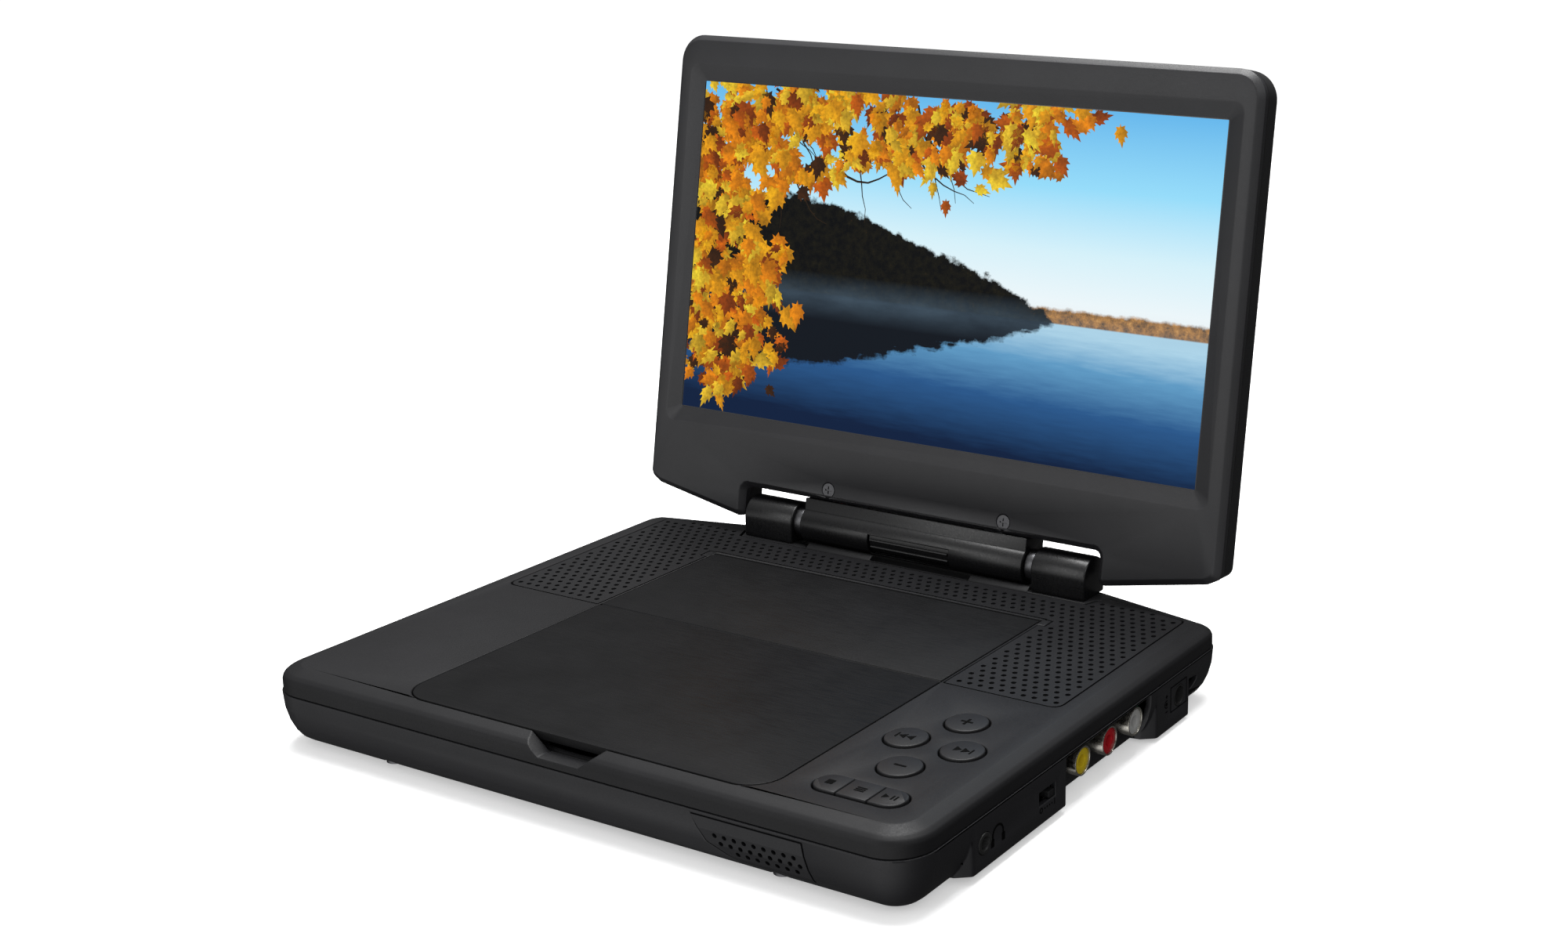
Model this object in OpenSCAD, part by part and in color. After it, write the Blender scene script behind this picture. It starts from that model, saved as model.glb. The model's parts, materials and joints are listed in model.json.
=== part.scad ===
// Portable disc player: a flat base with a disc door and a screen that tilts on a rear hinge.
// Millimetres. +X right, +Y back, +Z up; the feet stand on z = 0.

/* [Base] */
// Width of the base at its parting line
base_w = 220; // [218:1:222]
// Depth from the front edge back to the hinge axis
hinge_back = 164.5; // [164:0.5:166]
// Height of the parting line between the two base shells
part_z = 16.5; // [16.5:0.1:16.8]
// Height of the deck that carries the keys and the door
deck_z = 23.5; // [23.5:0.1:24]
// Wall of the two base shells
wall = 2; // [1.8:0.1:2.1]
// Radius of the front corners
front_r = 12; // [10:1:14]

/* [Disc door] */
// Width of the disc door
door_w = 124.4; // [124.2:0.2:125]
// Thickness of the disc door
door_t = 2.4; // [2.2:0.1:2.4]
// Radius of the well that a 120 mm disc lies in
well_r = 60.8; // [60.6:0.1:61]

/* [Screen] */
// Width of the picture
lcd_w = 198; // [194:1:198]
// Height of the picture
lcd_h = 111.4; // [108:0.1:112]
// Thickness of the whole lid
lid_t = 11.5; // [11.5:0.1:12]
// Angle between the closed lid and the lid as it stands
lid_angle = 100; // [95:1:110]

/* [Keys] */
// Radius of a round key
key_r = 5.9; // [5.7:0.1:5.9]
// How far a key stands above the deck
key_rise = 0.5; // [0.3:0.1:0.6]
// How far a key can be pressed
key_travel = 0.5; // [0.3:0.1:0.5]

/* [Hidden] */
$fn = 48;
eps = 0.01;

// Heights, from the floor up
foot_h = 1.2;
floor_z = foot_h + wall;
deck_t = 2.6;
hinge_z = deck_z + 6.2;
well_floor_z = deck_z - 6.6;
disc_z = deck_z - 4.6;
board_z = 5;
board_t = 1.4;

// The lid, measured up along itself from the hinge axis and out towards the viewer
lid_w = 220.6;
lid_top = 159.6;
lid_low = -0.5;
bezel_low = -2;
lid_face = 4.6;
lid_back = lid_face - lid_t;
bezel_t = 4;
lcd_low = 32.7;
notch_top = 9;
notch_out = 68.8;
screw_v = 12.7;

// The hinge
barrel_r = 6.5;
barrel_half = 43;
knuckle_in = 46.5;
knuckle_out = 66;
shaft_r = 3;
shaft_fit = 0.05;

// The whole object stands centred on y = 0 with its lid open
lid_reach = lid_top * sin(lid_angle - 90) - lid_back * cos(lid_angle - 90);
front_y = -(hinge_back + lid_reach) / 2;
hinge_y = front_y + hinge_back;

// Places on the base, measured back from its front edge
chamfer_d = 5.5;
shoulder = [[0.3, 3.3], [0.75, 2.2], [2, 1.3]];
door_front = front_y + 5.5;
door_hinge_r = 1.4;
door_hinge_y = front_y + 137.2;
door_hinge_z = deck_z - door_hinge_r;
disc_y = front_y + 68.5;
grille_front = front_y + 84.4;
grille_out = 100.2;
speaker_x = 82;
speaker_y = front_y + 120;
speaker_z = deck_z - 12;

// Keys: four round ones form a diamond, three more share an oval
key_x = 84.5;
key_dx = 8.7;
key_plus_y = front_y + 63.7;
key_side_y = front_y + 48.2;
key_minus_y = front_y + 32.9;
oval_x = 84;
oval_y = front_y + 16.8;
oval_len = 27;
oval_wide = 9;
oval_split = 4.7;
oval_pitch = 9;
switch_top = deck_z - 4.6;
key_board_z = deck_z - 9;
key_places = [[key_x, key_plus_y], [key_x, key_minus_y], [key_x - key_dx, key_side_y],
              [key_x + key_dx, key_side_y], [oval_x - oval_pitch, oval_y], [oval_x, oval_y],
              [oval_x + oval_pitch, oval_y]];

// Sockets on the right side
side_x = base_w / 2;
recess_x = 103.5;
recess_y0 = front_y + 72.7;
recess_y1 = front_y + 120.5;
recess_lip = 0.8;
block_y0 = front_y + 24;
block_y1 = front_y + 144;
phones_y = front_y + 32.4;
phones_z = 9;
rca_y = front_y + 97;
rca_pitch = 14.8;
rca_z = 10.9;
rca_r = 4.15;
rca_insert_r = 3.65;
dc_y = front_y + 137.4;
dc_z = 9.6;
switch_y = front_y + 62.8;
switch_z = 9.4;
knob_y = switch_y + 2.6;

// Disc drive under the well
sled_in = 24;
sled_y = disc_y - sled_in;
rail_x = 17;
rail_z = 10;
rail_y0 = disc_y - 62.6;
rail_y1 = disc_y - 1.5;
screw_x = 25;
screw_z = 8.6;
chassis_z = 13;
chassis_t = 1.2;
damper_xy = [for (x = [-31.5, 31.5], y = [disc_y - 57.5, disc_y + 21.5]) [x, y]];

// Feet and case screws
feet_xy = [for (x = [-88, 88], y = [front_y + 22, front_y + 148]) [x, y]];
screws_xy = [[-67, front_y + 7.5], [67, front_y + 7.5], [-60, front_y + 152], [60, front_y + 152]];

// ---------- shared shapes ----------

function unit(v) = v / norm(v);

// The arc of radius r that rounds the corner b between a and c
function corner(a, b, c, r) =
    let(u = unit(a - b), v = unit(c - b), half = acos(u * v) / 2,
        centre = b + unit(u + v) * r / sin(half),
        p = b + u * r / tan(half) - centre,
        start = atan2(p[1], p[0]),
        turn = (u[0] * v[1] - u[1] * v[0] > 0 ? -1 : 1) * (180 - 2 * half),
        n = max(3, ceil(r) + 1))
    [for (i = [0:n]) centre + r * [cos(start + turn * i / n), sin(start + turn * i / n)]];

// A closed outline from [x, y, radius] corners
function rounded(pts) =
    let(n = len(pts))
    [for (i = [0:n - 1])
        let(q = pts[i], a = pts[(i + n - 1) % n], c = pts[(i + 1) % n])
        each q[2] == 0 ? [[q[0], q[1]]] : corner([a[0], a[1]], [q[0], q[1]], [c[0], c[1]], q[2])];

// A mirror-symmetric outline from the corners of its right half
function both_sides(half) =
    concat(half, [for (i = [len(half) - 1:-1:0]) [-half[i][0], half[i][1], half[i][2]]]);

module plate(outline, z, t) {
    translate([0, 0, z]) linear_extrude(t) polygon(outline);
}

module rounded_box(size, r) {
    w = size[0] / 2;
    d = size[1] / 2;
    linear_extrude(size[2]) polygon(rounded([[-w, -d, r], [w, -d, r], [w, d, r], [-w, d, r]]));
}

// A block between two corners
module block(low, high) {
    translate(low) cube(high - low);
}

module rod_x(x0, x1, y, z, r) {
    translate([x0, y, z]) rotate([0, 90, 0]) cylinder(r = r, h = x1 - x0);
}

module rod_y(x, y0, y1, z, r) {
    translate([x, y1, z]) rotate([90, 0, 0]) cylinder(r = r, h = y1 - y0);
}

module post(p, z0, z1, r) {
    translate([p[0], p[1], z0]) cylinder(r = r, h = z1 - z0);
}

// Outline of the base, pulled in by a distance, with its own distance at the rear edge
function base_outline(inset, rear) =
    let(w = side_x - inset)
    rounded(both_sides([
        [w, front_y + inset, front_r - inset],
        [w, front_y + 163.4 - inset * 0.8, max(6.5 - inset * 0.65, 0.6)],
        [66 - inset * 0.2, hinge_y + barrel_r - rear, 2]]));

module slice(inset, rear, z) {
    plate(base_outline(inset, rear), z, eps);
}

// The lower body: full width at the parting line, swept in like a boat towards the floor
bilge = 8;
function sweep_in(s) = bilge * (1 - sqrt(1 - s * s));
module boat(inset, z_low) {
    hull() {
        slice(inset, inset, part_z - eps);
        for (s = [0.3, 0.55, 0.75, 0.88, 0.96, 1])
            let(z = part_z - s * (part_z - foot_h), in = min(inset + sweep_in(s), 8.9))
            slice(in, in, max(z, z_low));
    }
}

// ---------- base shells ----------

module side_block(y0, y1, z0) {
    plate(rounded([[side_x - 22, y0, 0], [side_x - 4, y0, 0], [side_x, y0 + 3, 1.5],
                   [side_x, y1, 1], [side_x - 22, y1, 0]]), z0, part_z - z0);
}

module vent_prism(grow) {
    translate([0, front_y + 12, 0]) rotate([90, 0, 0]) linear_extrude(20)
        polygon([[44 - grow, part_z - 1.2 + grow], [78 + grow, part_z - 1.2 + grow],
                 [79.5 + grow, 4 - grow], [56 - grow, 4 - grow], [48 - grow, 8.5 - grow]]);
}

module socket_holes() {
    rod_x(side_x - 12, side_x + 1, phones_y, phones_z, 2.9);
    rod_x(side_x - 12, side_x + 1, dc_y, dc_z, 3.2);
    block([side_x - 6, switch_y - 4.2, switch_z - 2], [side_x + 1, switch_y + 4.2, switch_z + 2]);
    for (i = [-1:1]) rod_x(recess_x - 6, recess_x + 3, rca_y + i * rca_pitch, rca_z, rca_insert_r + 0.1);
}

// A three-cornered slot behind the power socket
module strap_slot() {
    translate([side_x - 14, front_y + 143.8, 0]) rotate([90, 0, 90]) linear_extrude(20)
        polygon([[0.6, 12], [6.7, 11.3], [6.7, 9.5], [2.2, 5.6]]);
}

module bottom_shell() color([0.11, 0.11, 0.12]) {
    difference() {
        union() {
            difference() {
                union() {
                    boat(0, 0);
                    side_block(block_y0, recess_y0, foot_h + 1);
                    side_block(recess_y1, block_y1, foot_h);
                }
                boat(wall, floor_z);
                block([60, block_y0 + 4, floor_z], [side_x - wall, recess_y0 - wall, part_z + 1]);
                block([60, recess_y1 + wall, floor_z], [side_x - wall, block_y1 - wall, part_z + 1]);
                block([recess_x, recess_y0, -1], [side_x + 1, recess_y1, part_z - recess_lip]);
            }
            block([recess_x - wall, recess_y0 - wall, foot_h + 0.6],
                  [recess_x, recess_y1 + wall, part_z]);
            block([recess_x - wall, recess_y0 - wall, part_z - recess_lip],
                  [side_x - wall, recess_y1 + wall, part_z]);
            for (p = screws_xy) post(p, floor_z - eps, 9.2, 3.4);
        }
        socket_holes();
        strap_slot();
        vent_prism(0.3);
        for (p = feet_xy) post(p, -1, foot_h + 0.8, 6.1);
        for (p = screws_xy) {
            post(p, -1, 10, 1.4);
            post(p, -1, 3.4, 3);
        }
        for (i = [-4:4]) block([i * 6 - 1, front_y + 144, 0], [i * 6 + 1, front_y + 152, floor_z + 1]);
    }
}

// The part of the lower body's front that carries the vent holes
module front_vent_panel() color([0.12, 0.12, 0.13]) {
    intersection() {
        difference() {
            boat(0, 0);
            boat(wall, floor_z);
        }
        vent_prism(0);
    }
}

function door_outline(grow) =
    let(w = door_w / 2 + grow)
    rounded(both_sides([[w, door_front - grow, 9 + grow],
                        [w, door_hinge_y + door_hinge_r + grow, 0]]));

// Two speaker fields joined by a strip between the door and the hinge
function grille_outline(grow) =
    rounded(both_sides([
        [door_w / 2 + 1.4 - grow, front_y + 140.4 - grow, 0.5],
        [door_w / 2 + 1.4 - grow, grille_front - grow, 0.5],
        [grille_out + grow, grille_front - grow, 3],
        [grille_out + grow, front_y + 158.8 + grow, 2],
        [70.5 + grow, front_y + 164.3 + grow, 2],
        [67.5 + grow, front_y + 156.6 + grow, 0]]));

module grille_plate(grow, z, t) {
    difference() {
        plate(grille_outline(grow), z, t);
        for (x = [-66 + grow, 60 - grow]) block([x, door_hinge_y - 2.6 + grow, z - 1],
                                                [x + 6, door_hinge_y + 2.6 - grow, z + t + 1]);
    }
}

module key_openings(clear) {
    for (i = [0:3]) post(key_places[i], 10, 40, key_r + clear);
    translate([oval_x, oval_y, 10])
        rounded_box([oval_len + 2 * clear, oval_wide + 2 * clear, 30], oval_wide / 2 + clear - eps);
}

module finger_notch() {
    translate([0, door_front + 4, 0]) rotate([90, 0, 0]) linear_extrude(12)
        polygon([[-14, deck_z + 1], [-13, deck_z], [-7, deck_z - 4.7], [7, deck_z - 4.7],
                 [13, deck_z], [14, deck_z + 1]]);
}

// Two sloped lips that stand in front of the barrel, with a gap between them
lip_gap = [-14.2, 23.8];
module hinge_lips() {
    for (span = [[-40, lip_gap[0]], [lip_gap[1], 45.9]])
        translate([span[0], hinge_y - 7.5, deck_z - eps]) rotate([90, 0, 90])
            linear_extrude(span[1] - span[0]) polygon([[0, 0], [1.8, 1.3], [2.5, 1.3], [2.9, 0]]);
}

module hinge_trough() {
    block([-45.9, hinge_y - 4.6, deck_z - 0.9], [45.9, hinge_y + 8, deck_z + 5]);
    block([lip_gap[0], hinge_y - 7.3, deck_z - 0.9], [lip_gap[1], hinge_y + 8, deck_z + 5]);
}

module top_cover() color([0.11, 0.11, 0.12]) {
    difference() {
        union() {
            difference() {
                union() {
                    plate(base_outline(0.3, 0.3), part_z + 0.4, deck_z - shoulder[0][1] - part_z - 0.4);
                    hull() {
                        for (s = shoulder) slice(s[0], s[0], deck_z - s[1] - eps);
                        slice(chamfer_d, 2.5, deck_z - eps);
                    }
                }
                plate(base_outline(wall + 0.3, wall), part_z - 1, deck_z - deck_t - 2.4 - part_z + 1);
                plate(base_outline(chamfer_d, wall), part_z, deck_z - deck_t - part_z);
            }
            for (s = [-1, 1]) translate([s * 65.5, door_hinge_y, deck_z - 3])
                cube([4, 6, 4], center = true);
            for (p = screws_xy) post(p, 9.6, deck_z - 1, 3.2);
            hinge_lips();
        }
        plate(door_outline(0.35), deck_z - 6, 8);
        grille_plate(0.45, deck_z - 1.7, 4);
        grille_plate(-1.6, part_z, 8);
        key_openings(0.45);
        rod_x(-67, 67, door_hinge_y, door_hinge_z, 0.95);
        finger_notch();
        hinge_trough();
        post([-61.5, hinge_y], 10, 40, 2.3);
        for (p = screws_xy) post(p, 8, 19, 1.2);
    }
}

module speaker_grille() color([0.1, 0.1, 0.1]) {
    grille_plate(0, deck_z - 1.6, 1.5);
}

// Dish that the disc lies in, with its rim under the deck
module disc_well() color([0.14, 0.14, 0.15]) {
    difference() {
        union() {
            plate(rounded(both_sides([[63, front_y + 6, 8], [63, front_y + 135.5, 4]])),
                  deck_z - 4.2, 1.2);
            translate([0, disc_y, well_floor_z - 1.3]) cylinder(r = well_r + 1.2, h = 3.5, $fn = 96);
        }
        translate([0, disc_y, well_floor_z]) cylinder(r = well_r, h = 10, $fn = 96);
        post([0, disc_y], 0, 30, 15.5);
        block([-10.5, disc_y - 60, 0], [10.5, disc_y, 30]);
        block([-15, front_y, deck_z - 5], [15, front_y + 8.5, 30]);
    }
}

// ---------- hinge ----------

// One of the two covers that stand up from the deck, drawn on the right and mirrored for the left
module hinge_cover() {
    difference() {
        union() {
            rod_x(knuckle_in, knuckle_out, hinge_y, hinge_z, barrel_r);
            block([knuckle_in, hinge_y - barrel_r, deck_z + 0.02],
                  [knuckle_out, hinge_y + barrel_r - 0.6, hinge_z]);
        }
        block([knuckle_in - 1, hinge_y - 8, deck_z - 2], [knuckle_out + 1, hinge_y + 8, deck_z + 0.02]);
        rod_x(knuckle_in + 1.5, knuckle_out - 1.5, hinge_y, hinge_z, 5.1);
        block([knuckle_in + 1.5, hinge_y - 5.1, deck_z - 1], [knuckle_out - 1.5, hinge_y + 4.5, hinge_z]);
        rod_x(knuckle_in - 1, 50, hinge_y, hinge_z, shaft_r + shaft_fit);
    }
}
module left_hinge_cover() color([0.07, 0.07, 0.07]) mirror([1, 0, 0]) hinge_cover();
module right_hinge_cover() color([0.07, 0.07, 0.07]) hinge_cover();

module hinge_collars() color([0.3, 0.3, 0.31]) {
    for (x = [-knuckle_in + 0.02, barrel_half + 0.5]) difference() {
        rod_x(x, x + 2.98, hinge_y, hinge_z, 5.4);
        rod_x(x - 1, x + 4, hinge_y, hinge_z, shaft_r + shaft_fit);
    }
}

// Steel clamp that grips the hinge shaft, with its foot on the deck
module friction_hinge() color([0.6, 0.6, 0.62]) {
    difference() {
        union() {
            rod_x(49, 60, hinge_y, hinge_z, 4.6);
            block([49, hinge_y - 4.6, deck_z + 0.04], [60, hinge_y + 4, deck_z + 1.8]);
        }
        rod_x(48, 61, hinge_y, hinge_z, shaft_r + shaft_fit);
    }
}

// Screen wires on the base's side of the hinge
module base_harness() color([0.55, 0.1, 0.1]) {
    rod_x(-61.5, -59.1, hinge_y, hinge_z, 1.9);
    translate([-61.5, hinge_y, hinge_z]) sphere(r = 1.9);
    post([-61.5, hinge_y], 12, hinge_z, 1.9);
}

// ---------- electronics ----------

module main_board() color([0.05, 0.3, 0.15]) {
    block([40, front_y + 30, board_z], [recess_x - wall - 0.5, front_y + 146, board_z + board_t]);
}

module board_chips() color([0.08, 0.08, 0.08]) {
    z = board_z + board_t;
    block([52, front_y + 66, z], [72, front_y + 86, z + 1.6]);
    block([50, front_y + 98, z], [60, front_y + 112, z + 1.2]);
    block([48, front_y + 44, z], [58, front_y + 52, z + 1.4]);
    for (i = [0:2]) post([46 + i * 8, front_y + 128], z, z + 6, 3);
}

module key_board() color([0.05, 0.3, 0.15]) {
    block([71.5, front_y + 9.5, key_board_z], [101, front_y + 72, key_board_z + board_t]);
}

module key_switches() color([0.7, 0.7, 0.68]) {
    z = key_board_z + board_t;
    for (p = key_places) {
        block([p[0] - 2.2, p[1] - 2.2, z], [p[0] + 2.2, p[1] + 2.2, z + 2.2]);
        post(p, z, switch_top, 1.2);
    }
}

// A box that stands on the main board
module on_board_box(x0, x1, y, half, z1) {
    block([x0, y - half, board_z + board_t + 0.02], [x1, y + half, z1]);
}

module power_switch_body() color([0.6, 0.6, 0.62]) {
    difference() {
        on_board_box(side_x - 13, side_x - 6.6, switch_y, 6, switch_z + 3);
        block([side_x - 9, switch_y - 4.6, switch_z - 1.4], [side_x - 6, switch_y + 4.6, switch_z + 1.4]);
    }
}

module power_switch_knob() color([0.12, 0.12, 0.13]) {
    block([side_x - 8.6, knob_y - 1.9, switch_z - 1.2], [side_x - 6.4, knob_y + 1.5, switch_z + 1.2]);
    block([side_x - 6.5, knob_y - 1.5, switch_z - 1.7], [side_x - 0.4, knob_y + 1.3, switch_z + 0.2]);
}

// ---------- sockets ----------

module headphone_jack() color([0.08, 0.08, 0.08]) {
    difference() {
        union() {
            on_board_box(side_x - 16, side_x - wall - 0.1, phones_y, 4, phones_z + 4);
            rod_x(side_x - wall - 0.2, side_x + 0.2, phones_y, phones_z, 2.85);
        }
        rod_x(side_x - 15, side_x + 1, phones_y, phones_z, 1.8);
    }
}

module rca_block() color([0.08, 0.08, 0.08]) {
    difference() {
        on_board_box(recess_x - 13, recess_x - wall - 0.1, rca_y, 21, rca_z + 4.4);
        for (i = [-1:1]) rod_x(recess_x - 8, recess_x, rca_y + i * rca_pitch, rca_z, rca_insert_r);
    }
}

module rca_shells() color([0.75, 0.75, 0.75]) {
    for (i = [-1:1]) difference() {
        rod_x(recess_x, side_x - 0.6, rca_y + i * rca_pitch, rca_z, rca_r);
        rod_x(recess_x - 1, side_x, rca_y + i * rca_pitch, rca_z, rca_insert_r);
    }
}

module rca_insert(i, tint) color(tint) {
    difference() {
        rod_x(recess_x - 8, side_x - 1, rca_y + i * rca_pitch, rca_z, rca_insert_r);
        rod_x(recess_x - 6, side_x, rca_y + i * rca_pitch, rca_z, 1.65);
    }
}
module video_insert() rca_insert(-1, [0.9, 0.75, 0.1]);
module right_audio_insert() rca_insert(0, [0.75, 0.08, 0.1]);
module left_audio_insert() rca_insert(1, [0.9, 0.9, 0.9]);

module dc_jack() color([0.08, 0.08, 0.08]) {
    difference() {
        union() {
            on_board_box(side_x - 15, side_x - wall - 0.1, dc_y, 4.4, dc_z + 4.6);
            rod_x(side_x - wall - 0.2, side_x, dc_y, dc_z, 3.15);
        }
        rod_x(side_x - 13, side_x + 1, dc_y, dc_z, 2.75);
    }
}

module dc_jack_pin() color([0.75, 0.75, 0.75]) rod_x(side_x - 13, side_x - 2.5, dc_y, dc_z, 0.85);

// ---------- power and sound ----------

module battery_pack() color([0.15, 0.25, 0.45]) {
    translate([-71, front_y + 60, floor_z + 0.3]) rounded_box([60, 78, 8.6], 3);
}

module speaker_drivers() color([0.4, 0.4, 0.42]) {
    for (s = [-1, 1]) translate([s * speaker_x, speaker_y, speaker_z]) difference() {
        union() {
            translate([0, 0, 7.2]) cylinder(r = 14, h = 2);
            translate([0, 0, 3.4]) cylinder(r1 = 8, r2 = 13, h = 3.9);
            cylinder(r = 8, h = 3.5);
        }
        translate([0, 0, 3.6]) cylinder(r1 = 5, r2 = 12, h = 6);
    }
}

module speaker_cones() color([0.12, 0.12, 0.12]) {
    for (s = [-1, 1]) translate([s * speaker_x, speaker_y, speaker_z]) difference() {
        translate([0, 0, 3.9]) cylinder(r1 = 5.2, r2 = 11.1, h = 5);
        translate([0, 0, 4.5]) cylinder(r1 = 4.6, r2 = 10.5, h = 5);
    }
}

module rubber_feet() color([0.05, 0.05, 0.05]) {
    for (p = feet_xy) post(p, 0, foot_h + 0.78, 6);
}

module case_screws() color([0.5, 0.5, 0.52]) {
    for (p = screws_xy) difference() {
        union() {
            post(p, 1.9, 3.4, 2.8);
            post(p, 3.3, 16, 1.15);
        }
        translate([p[0], p[1], 1.9]) cube([3.2, 0.6, 1.4], center = true);
        translate([p[0], p[1], 1.9]) cube([0.6, 3.2, 1.4], center = true);
    }
}

// ---------- disc drive ----------

module rail_post(x, y, z, half, r) {
    difference() {
        block([x - half, y, z - 2.6], [x + half, y + 1.6, chassis_z + 0.1]);
        rod_y(x, y - 1, y + 3, z, r);
    }
}

module mech_chassis() color([0.65, 0.66, 0.68]) {
    difference() {
        block([-36, rail_y0, chassis_z], [36, disc_y + 27, chassis_z + chassis_t]);
        block([-21.5, disc_y - 60.8, 0], [21.5, disc_y - 14.5, 30]);
        post([0, disc_y], 0, 30, 3.2);
        for (p = damper_xy) post(p, 0, 30, 2.5);
    }
    for (x = [-rail_x, rail_x], y = [rail_y0, rail_y1]) rail_post(x, y, rail_z, 3, 1.52);
    rail_post(screw_x, rail_y0, screw_z, 2.4, 1.05);
}

module chassis_dampers() color([0.1, 0.1, 0.1]) {
    for (p = damper_xy) difference() {
        union() {
            post(p, floor_z, chassis_z, 4);
            post(p, floor_z, chassis_z + 1.6, 2.45);
        }
        post(p, 0, 30, 1.2);
    }
}

module spindle_motor() color([0.7, 0.7, 0.72]) {
    difference() {
        union() {
            post([0, disc_y], 6, chassis_z - 0.1, 12);
            post([0, disc_y], chassis_z - 0.2, chassis_z + 1.6, 3);
        }
        post([0, disc_y], 5, 17, 1.04);
    }
}

module sled_motor() color([0.6, 0.6, 0.62]) rod_y(screw_x, disc_y + 3, disc_y + 17, screw_z, 4.3);

module guide_rails() color([0.8, 0.8, 0.82]) {
    for (x = [-rail_x, rail_x]) rod_y(x, rail_y0 + 0.1, rail_y1 + 1.5, rail_z, 1.5);
}

module lead_screw() color([0.8, 0.8, 0.82]) {
    rod_y(screw_x, rail_y0 + 0.4, disc_y + 2.9, screw_z, 1);
    for (i = [0:14]) rod_y(screw_x, disc_y - 60 + i * 4, disc_y - 58 + i * 4, screw_z, 1.5);
}

module turntable() color([0.12, 0.12, 0.13]) {
    difference() {
        union() {
            post([0, disc_y], disc_z - 2, disc_z - 0.2, 14.5);
            post([0, disc_y], disc_z - 0.3, disc_z, 8.6);
            post([0, disc_y], disc_z - 0.1, disc_z + 1.4, 7.4);
        }
        post([0, disc_y], 0, 40, 1);
    }
}

module turntable_ring() color([0.05, 0.05, 0.05]) {
    difference() {
        post([0, disc_y], disc_z - 0.2, disc_z, 14.2);
        post([0, disc_y], 0, 40, 9);
    }
}

module spindle_shaft() color([0.8, 0.8, 0.82]) post([0, disc_y], 7, disc_z + 1.2, 1);

module pickup_sled() color([0.35, 0.35, 0.37]) {
    difference() {
        union() {
            block([-20, sled_y - 4.2, 7.4], [20, sled_y + 7, 12.6]);
            block([-7, sled_y - 4.2, 12.5], [7, sled_y + 6, 15]);
            block([19.9, sled_y - 4, 7.6], [screw_x - 1.8, sled_y + 4, 11]);
        }
        for (x = [-rail_x, rail_x]) rod_y(x, sled_y - 10, sled_y + 10, rail_z, 1.55);
        post([0, sled_y], 13, 18, 3.4);
    }
}

module objective_lens() color([0.5, 0.6, 0.75, 0.6]) {
    post([0, sled_y], 13.5, 15.1, 3);
    post([0, sled_y], 15, 15.5, 2);
}

// ---------- disc door ----------

module disc_door() color([0.09, 0.09, 0.1]) {
    half = door_w / 2;
    difference() {
        union() {
            plate(rounded(both_sides([[half, door_front, 9], [half, door_hinge_y, 0]])),
                  deck_z - door_t, door_t);
            rod_x(-half, half, door_hinge_y, door_hinge_z, door_hinge_r);
        }
        block([-half - 1, grille_front - 0.4, deck_z - 0.4], [half + 1, grille_front + 0.4, deck_z + 1]);
        post([0, disc_y], deck_z - door_t - 1, deck_z - door_t + 0.6, 9);
        for (x = [-half - 1, half - 4]) rod_x(x, x + 5, door_hinge_y, door_hinge_z, 0.9);
    }
}

module door_pins() color([0.8, 0.8, 0.82]) {
    for (x = [-65.5, door_w / 2 - 3.9])
        rod_x(x, x + 69.4 - door_w / 2, door_hinge_y, door_hinge_z, 0.9);
}

// ---------- keys ----------

module key_stem(p) {
    post(p, switch_top + key_travel + 0.1, deck_z - 2.7, 1.8);
}

module round_key(p) color([0.12, 0.12, 0.13]) {
    post(p, deck_z - 2.9, deck_z + key_rise, key_r);
    post(p, deck_z - 3.5, deck_z - 2.8, key_r + 0.8);
    key_stem(p);
}
module volume_up_key() round_key(key_places[0]);
module volume_down_key() round_key(key_places[1]);
module previous_key() round_key(key_places[2]);
module next_key() round_key(key_places[3]);

// One of the keys cut from the oval, between two places along it
module oval_key(x0, x1, p) color([0.12, 0.12, 0.13]) {
    intersection() {
        translate([oval_x, oval_y, deck_z - 3.4])
            rounded_box([oval_len, oval_wide, key_rise + 3.4], oval_wide / 2 - eps);
        block([oval_x + x0, oval_y - 10, 0], [oval_x + x1, oval_y + 10, 40]);
    }
    key_stem(p);
}
module stop_key() oval_key(-20, -oval_split - 0.15, key_places[4]);
module menu_key() oval_key(-oval_split + 0.15, oval_split - 0.15, key_places[5]);
module play_key() oval_key(oval_split + 0.15, 20, key_places[6]);

// ---------- lid ----------

// Children are drawn in the lid's own frame: x across, y up the lid from the hinge axis, z to the viewer
module in_lid() {
    translate([0, hinge_y, hinge_z]) rotate([180 - lid_angle, 0, 0]) children();
}

// Outline of the lid, with a notch at its foot for the two hinge covers and the barrel between them
function lid_outline(inset, low = lid_low) =
    let(w = lid_w / 2 - inset)
    rounded(both_sides([
        [notch_out + inset, notch_top + inset, 2], [notch_out + inset, low + inset, 2.2],
        [106, low / 4 + 5.3 + inset, 3], [w, low / 2 + 8.2 + inset, 3.4],
        [w, lid_top - inset, 9 - inset]]));

module lcd_window(grow, z0, t) {
    translate([0, lcd_low + lcd_h / 2, z0])
        rounded_box([lcd_w + 2 * grow, lcd_h + 2 * grow, t], 0.8 + grow / 2);
}

module lid_screw_places() {
    for (x = [-34, 34]) translate([x, screw_v, 0]) children();
}

module lid_bezel() color([0.1, 0.1, 0.11]) in_lid() difference() {
    plate(lid_outline(0, bezel_low), lid_face - bezel_t, bezel_t);
    plate(lid_outline(1.8, bezel_low), lid_face - bezel_t - 1, bezel_t - 0.6);
    lcd_window(0.3, -10, 20);
    hull() {
        lcd_window(0.3, lid_face - 1.6, 0.1);
        lcd_window(5.6, lid_face, 0.1);
    }
    lid_screw_places() {
        cylinder(r = 1.3, h = 10);
        translate([0, 0, lid_face - 0.9]) cylinder(r = 2.5, h = 3);
    }
}

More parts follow.
